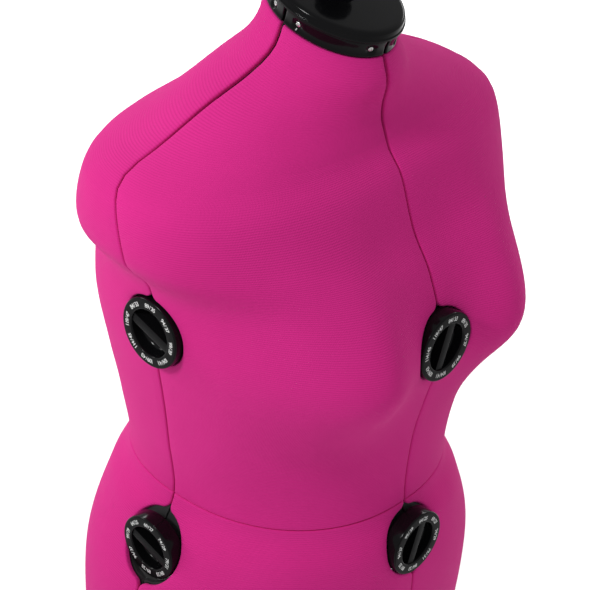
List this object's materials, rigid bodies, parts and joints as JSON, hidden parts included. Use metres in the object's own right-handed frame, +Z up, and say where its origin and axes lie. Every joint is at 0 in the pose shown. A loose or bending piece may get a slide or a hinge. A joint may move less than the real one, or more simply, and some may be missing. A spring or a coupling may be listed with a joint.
{
  "type": "dress form mannequin",
  "caption": "Knit-covered adjustable torso form on a telescopic pole stand; turning the seam dials spreads its panels to fit a garment size.",
  "frame": {"origin": "on the floor, on the axis of the pole, at the centre of the legs", "axes": "+Z up; -Y is the front of the body, +X is the body's left side"},
  "size_m": [0.54, 0.54, 1.415],
  "materials": {
    "knit": "foam-backed fuchsia knit with a fine rib",
    "shell_black": "moulded black polystyrene",
    "gloss_black": "polished black moulding",
    "dial_black": "black moulding, satin scale ring with printed marks, polished cup and grip",
    "nylon_black": "fine-textured black nylon",
    "steel": "drawn steel tube",
    "aluminium": "drawn aluminium",
    "enamel_black": "black enamelled steel tube",
    "rubber": "black rubber"
  },
  "bodies": {
    "stand": {"base_hub": "nylon_black", "front_leg": "nylon_black", "left_leg": "nylon_black", "back_leg": "nylon_black", "right_leg": "nylon_black", "front_foot": "rubber", "left_foot": "rubber", "back_foot": "rubber", "right_foot": "rubber", "outer_pole": "enamel_black", "height_clamp": "nylon_black"},
    "clamp_knob": {"clamp_knob": "nylon_black"},
    "mast": {"inner_pole": "steel", "lower_hub": "nylon_black"},
    "upper_core": {"upper_hub": "nylon_black", "upper_post": "aluminium"},
    "neck_cap": {"neck_cap": "gloss_black"},
    "neck_knob": {"neck_knob": "gloss_black"},
    "lower_front_frame": {"lower_front_spine": "nylon_black"},
    "lower_left_frame": {"lower_left_spine": "nylon_black"},
    "lower_back_frame": {"lower_back_spine": "nylon_black"},
    "lower_right_frame": {"lower_right_spine": "nylon_black"},
    "lower_front_left_panel": {"lower_front_left_cover": "knit", "lower_front_left_shell": "shell_black"},
    "lower_front_right_panel": {"lower_front_right_cover": "knit", "lower_front_right_shell": "shell_black"},
    "lower_back_left_panel": {"lower_back_left_cover": "knit", "lower_back_left_shell": "shell_black"},
    "lower_back_right_panel": {"lower_back_right_cover": "knit", "lower_back_right_shell": "shell_black"},
    "waist_dial_front": {"waist_dial_front": "dial_black"},
    "waist_dial_left": {"waist_dial_left": "dial_black"},
    "waist_dial_back": {"waist_dial_back": "dial_black"},
    "waist_dial_right": {"waist_dial_right": "dial_black"},
    "hip_dial_front": {"hip_dial_front": "dial_black"},
    "hip_dial_left": {"hip_dial_left": "dial_black"},
    "hip_dial_back": {"hip_dial_back": "dial_black"},
    "hip_dial_right": {"hip_dial_right": "dial_black"},
    "upper_front_frame": {"upper_front_spine": "nylon_black"},
    "upper_left_frame": {"upper_left_spine": "nylon_black"},
    "upper_back_frame": {"upper_back_spine": "nylon_black"},
    "upper_right_frame": {"upper_right_spine": "nylon_black"},
    "upper_front_left_panel": {"upper_front_left_cover": "knit", "upper_front_left_shell": "shell_black", "collar_front_left": "gloss_black"},
    "upper_front_right_panel": {"upper_front_right_cover": "knit", "upper_front_right_shell": "shell_black", "collar_front_right": "gloss_black"},
    "upper_back_left_panel": {"upper_back_left_cover": "knit", "upper_back_left_shell": "shell_black", "collar_back_left": "gloss_black"},
    "upper_back_right_panel": {"upper_back_right_cover": "knit", "upper_back_right_shell": "shell_black", "collar_back_right": "gloss_black"},
    "bust_dial_front": {"bust_dial_front": "dial_black"},
    "bust_dial_left": {"bust_dial_left": "dial_black"},
    "bust_dial_back": {"bust_dial_back": "dial_black"},
    "bust_dial_right": {"bust_dial_right": "dial_black"}
  },
  "joints": [
    {"name": "height", "type": "slide", "parent": "stand", "child": "mast", "axis": [0, 0, 1], "range_m": [0, 0.25]},
    {"name": "clamp_screw", "type": "hinge", "parent": "stand", "child": "clamp_knob", "pos_m": [0, -0.03, 0.62], "axis": [0, 1, 0], "range_deg": [0, 360]},
    {"name": "back_length", "type": "slide", "parent": "mast", "child": "upper_core", "axis": [0, 0, 1], "range_m": [0, 0.05]},
    {"name": "neck_cap_lift", "type": "slide", "parent": "upper_core", "child": "neck_cap", "axis": [0, 0, 1], "range_m": [0, 0.0056]},
    {"name": "neck_knob_turn", "type": "hinge", "parent": "neck_cap", "child": "neck_knob", "pos_m": [0, -0.0235, 1.3804], "axis": [0, -0.2696, 0.963], "range_deg": [0, 360]},
    {"name": "lower_width", "type": "slide", "parent": "mast", "child": "lower_left_frame", "axis": [1, 0, 0], "range_m": [0, 0.02]},
    {"name": "lower_width_right", "type": "slide", "parent": "mast", "child": "lower_right_frame", "axis": [-1, 0, 0], "range_m": [0, 0.02]},
    {"name": "lower_depth", "type": "slide", "parent": "mast", "child": "lower_front_frame", "axis": [0, -1, 0], "range_m": [0, 0.02]},
    {"name": "lower_depth_back", "type": "slide", "parent": "mast", "child": "lower_back_frame", "axis": [0, 1, 0], "range_m": [0, 0.02]},
    {"name": "lower_front_left_shift", "type": "slide", "parent": "lower_left_frame", "child": "lower_front_left_panel", "axis": [0, -1, 0], "range_m": [0, 0.02]},
    {"name": "lower_front_right_shift", "type": "slide", "parent": "lower_right_frame", "child": "lower_front_right_panel", "axis": [0, -1, 0], "range_m": [0, 0.02]},
    {"name": "lower_back_left_shift", "type": "slide", "parent": "lower_left_frame", "child": "lower_back_left_panel", "axis": [0, 1, 0], "range_m": [0, 0.02]},
    {"name": "lower_back_right_shift", "type": "slide", "parent": "lower_right_frame", "child": "lower_back_right_panel", "axis": [0, 1, 0], "range_m": [0, 0.02]},
    {"name": "waist_dial_front_turn", "type": "hinge", "parent": "lower_front_frame", "child": "waist_dial_front", "pos_m": [0, -0.11898, 0.945], "axis": [0, 1, 0], "range_deg": [0, 286.5]},
    {"name": "waist_dial_left_turn", "type": "hinge", "parent": "lower_left_frame", "child": "waist_dial_left", "pos_m": [0.12487, 0.0131, 0.935], "axis": [-1, 0, 0], "range_deg": [0, 286.5]},
    {"name": "waist_dial_back_turn", "type": "hinge", "parent": "lower_back_frame", "child": "waist_dial_back", "pos_m": [0, 0.12733, 0.945], "axis": [0, -1, 0], "range_deg": [0, 286.5]},
    {"name": "waist_dial_right_turn", "type": "hinge", "parent": "lower_right_frame", "child": "waist_dial_right", "pos_m": [-0.12487, 0.0131, 0.935], "axis": [1, 0, 0], "range_deg": [0, 286.5]},
    {"name": "hip_dial_front_turn", "type": "hinge", "parent": "lower_front_frame", "child": "hip_dial_front", "pos_m": [0, -0.11568, 0.79], "axis": [0, 1, 0], "range_deg": [0, 286.5]},
    {"name": "hip_dial_left_turn", "type": "hinge", "parent": "lower_left_frame", "child": "hip_dial_left", "pos_m": [0.13925, 0.00696, 0.79], "axis": [-1, 0, 0], "range_deg": [0, 286.5]},
    {"name": "hip_dial_back_turn", "type": "hinge", "parent": "lower_back_frame", "child": "hip_dial_back", "pos_m": [0, 0.13167, 0.79], "axis": [0, -1, 0], "range_deg": [0, 286.5]},
    {"name": "hip_dial_right_turn", "type": "hinge", "parent": "lower_right_frame", "child": "hip_dial_right", "pos_m": [-0.13925, 0.00696, 0.79], "axis": [1, 0, 0], "range_deg": [0, 286.5]},
    {"name": "upper_width", "type": "slide", "parent": "upper_core", "child": "upper_left_frame", "axis": [1, 0, 0], "range_m": [0, 0.02]},
    {"name": "upper_width_right", "type": "slide", "parent": "upper_core", "child": "upper_right_frame", "axis": [-1, 0, 0], "range_m": [0, 0.02]},
    {"name": "upper_depth", "type": "slide", "parent": "upper_core", "child": "upper_front_frame", "axis": [0, -1, 0], "range_m": [0, 0.02]},
    {"name": "upper_depth_back", "type": "slide", "parent": "upper_core", "child": "upper_back_frame", "axis": [0, 1, 0], "range_m": [0, 0.02]},
    {"name": "upper_front_left_shift", "type": "slide", "parent": "upper_left_frame", "child": "upper_front_left_panel", "axis": [0, -1, 0], "range_m": [0, 0.02]},
    {"name": "upper_front_right_shift", "type": "slide", "parent": "upper_right_frame", "child": "upper_front_right_panel", "axis": [0, -1, 0], "range_m": [0, 0.02]},
    {"name": "upper_back_left_shift", "type": "slide", "parent": "upper_left_frame", "child": "upper_back_left_panel", "axis": [0, 1, 0], "range_m": [0, 0.02]},
    {"name": "upper_back_right_shift", "type": "slide", "parent": "upper_right_frame", "child": "upper_back_right_panel", "axis": [0, 1, 0], "range_m": [0, 0.02]},
    {"name": "bust_dial_front_turn", "type": "hinge", "parent": "upper_front_frame", "child": "bust_dial_front", "pos_m": [0, -0.12347, 1.142], "axis": [0, 1, 0], "range_deg": [0, 286.5]},
    {"name": "bust_dial_left_turn", "type": "hinge", "parent": "upper_left_frame", "child": "bust_dial_left", "pos_m": [0.13003, -0.00273, 1.157], "axis": [-1, 0, 0], "range_deg": [0, 286.5]},
    {"name": "bust_dial_back_turn", "type": "hinge", "parent": "upper_back_frame", "child": "bust_dial_back", "pos_m": [0, 0.12775, 1.142], "axis": [0, -1, 0], "range_deg": [0, 286.5]},
    {"name": "bust_dial_right_turn", "type": "hinge", "parent": "upper_right_frame", "child": "bust_dial_right", "pos_m": [-0.13003, -0.00273, 1.157], "axis": [1, 0, 0], "range_deg": [0, 286.5]}
  ],
  "couplings": [
    {"joint": "neck_cap_lift", "follows": "upper_depth", "ratio": 0.28},
    {"joint": "lower_width_right", "follows": "lower_width", "ratio": 1},
    {"joint": "lower_depth_back", "follows": "lower_depth", "ratio": 1},
    {"joint": "lower_front_left_shift", "follows": "lower_depth", "ratio": 1},
    {"joint": "lower_front_right_shift", "follows": "lower_depth", "ratio": 1},
    {"joint": "lower_back_left_shift", "follows": "lower_depth", "ratio": 1},
    {"joint": "lower_back_right_shift", "follows": "lower_depth", "ratio": 1},
    {"joint": "waist_dial_front_turn", "follows": "lower_width", "rad_per_m": 250},
    {"joint": "waist_dial_left_turn", "follows": "lower_depth", "rad_per_m": 250},
    {"joint": "waist_dial_back_turn", "follows": "lower_width", "rad_per_m": 250},
    {"joint": "waist_dial_right_turn", "follows": "lower_depth", "rad_per_m": 250},
    {"joint": "hip_dial_front_turn", "follows": "lower_width", "rad_per_m": 250},
    {"joint": "hip_dial_left_turn", "follows": "lower_depth", "rad_per_m": 250},
    {"joint": "hip_dial_back_turn", "follows": "lower_width", "rad_per_m": 250},
    {"joint": "hip_dial_right_turn", "follows": "lower_depth", "rad_per_m": 250},
    {"joint": "upper_width_right", "follows": "upper_width", "ratio": 1},
    {"joint": "upper_depth_back", "follows": "upper_depth", "ratio": 1},
    {"joint": "upper_front_left_shift", "follows": "upper_depth", "ratio": 1},
    {"joint": "upper_front_right_shift", "follows": "upper_depth", "ratio": 1},
    {"joint": "upper_back_left_shift", "follows": "upper_depth", "ratio": 1},
    {"joint": "upper_back_right_shift", "follows": "upper_depth", "ratio": 1},
    {"joint": "bust_dial_front_turn", "follows": "upper_width", "rad_per_m": 250},
    {"joint": "bust_dial_left_turn", "follows": "upper_depth", "rad_per_m": 250},
    {"joint": "bust_dial_back_turn", "follows": "upper_width", "rad_per_m": 250},
    {"joint": "bust_dial_right_turn", "follows": "upper_depth", "rad_per_m": 250}
  ]
}
